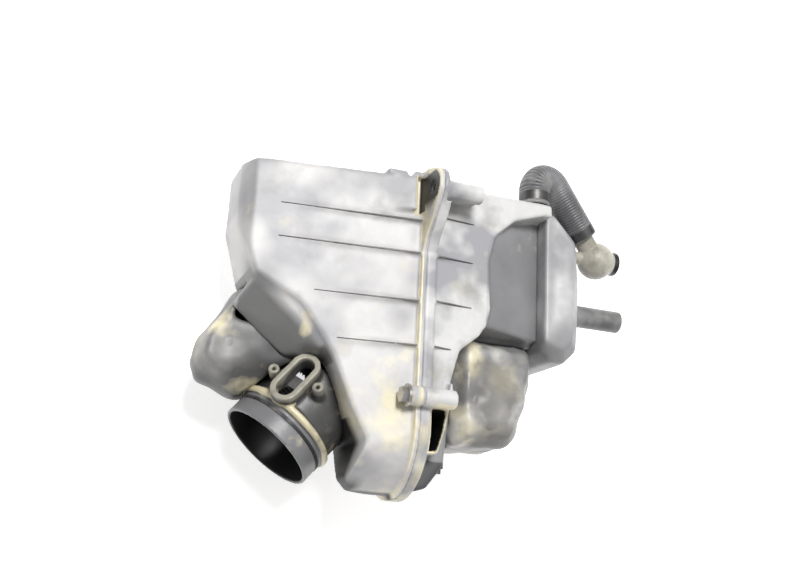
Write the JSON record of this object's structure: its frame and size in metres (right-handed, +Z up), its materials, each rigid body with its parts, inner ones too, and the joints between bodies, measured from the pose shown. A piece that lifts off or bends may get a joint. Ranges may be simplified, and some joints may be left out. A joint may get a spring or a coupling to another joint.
{
  "type": "air filter housing",
  "caption": "Engine air filter housing: ribbed cap and case joined on a flange round a pleated element, with side chambers, a round outlet with a sensor port, and a breather hose.",
  "frame": {"origin": "on the flat underside of the shelf below the parting line, in the plane where cap and case meet", "axes": "+X from the cap to the case across the parting line, +Y towards the inlet duct, +Z up out of the ribbed face"},
  "size_m": [0.367, 0.2937, 0.1749],
  "materials": {
    "cap_plastic": "moulded, sun-bleached and dusty",
    "case_plastic": "moulded, satin, dusty",
    "chamber_plastic": "blow-moulded, dusty in the hollows",
    "outlet_plastic": "moulded, satin",
    "hose_plastic": "corrugated, satin",
    "tee_plastic": "off-white, yellowed",
    "clip_metal": "spring steel band",
    "insert_brass": "turned",
    "sleeve_steel": "zinc plated",
    "screw_steel": "zinc plated, dulled",
    "rubber_black": "matt",
    "seal_foam": "soft moulded seal",
    "frame_plastic": "moulded",
    "mesh_plastic": "moulded grid",
    "filter_paper": "pleated paper"
  },
  "bodies": {
    "case": {"case_shell": "case_plastic", "rear_chamber": "case_plastic", "front_lobe": "chamber_plastic", "inlet_duct": "outlet_plastic", "breather_nipple": "outlet_plastic", "corrugated_hose": "hose_plastic", "hose_tee": "tee_plastic", "hose_clips": "clip_metal", "screw_inserts": "insert_brass", "harness_clip": "outlet_plastic", "mount_grommets": "rubber_black", "mount_sleeves": "sleeve_steel"},
    "cap": {"cap_shell": "cap_plastic", "side_chamber": "chamber_plastic", "outlet_tube": "outlet_plastic", "outlet_seal": "rubber_black", "flow_straightener": "mesh_plastic", "screw_bush": "sleeve_steel"},
    "element": {"filter_media": "filter_paper", "filter_frame": "frame_plastic", "filter_seal": "seal_foam"},
    "screw_lower": {"screw_lower": "screw_steel"}
  },
  "joints": [
    {"name": "cap_release", "type": "slide", "parent": "case", "child": "cap", "axis": [-1, 0, 0], "range_m": [0, 0.12]},
    {"name": "element_slide", "type": "slide", "parent": "case", "child": "element", "axis": [-1, 0, 0], "range_m": [0, 0.06]},
    {"name": "screw_lower_out", "type": "slide", "parent": "cap", "child": "screw_lower", "axis": [-1, 0, 0], "range_m": [0, 0.03]}
  ],
  "couplings": [
    {"joint": "element_slide", "follows": "cap_release", "ratio": 0.5}
  ]
}
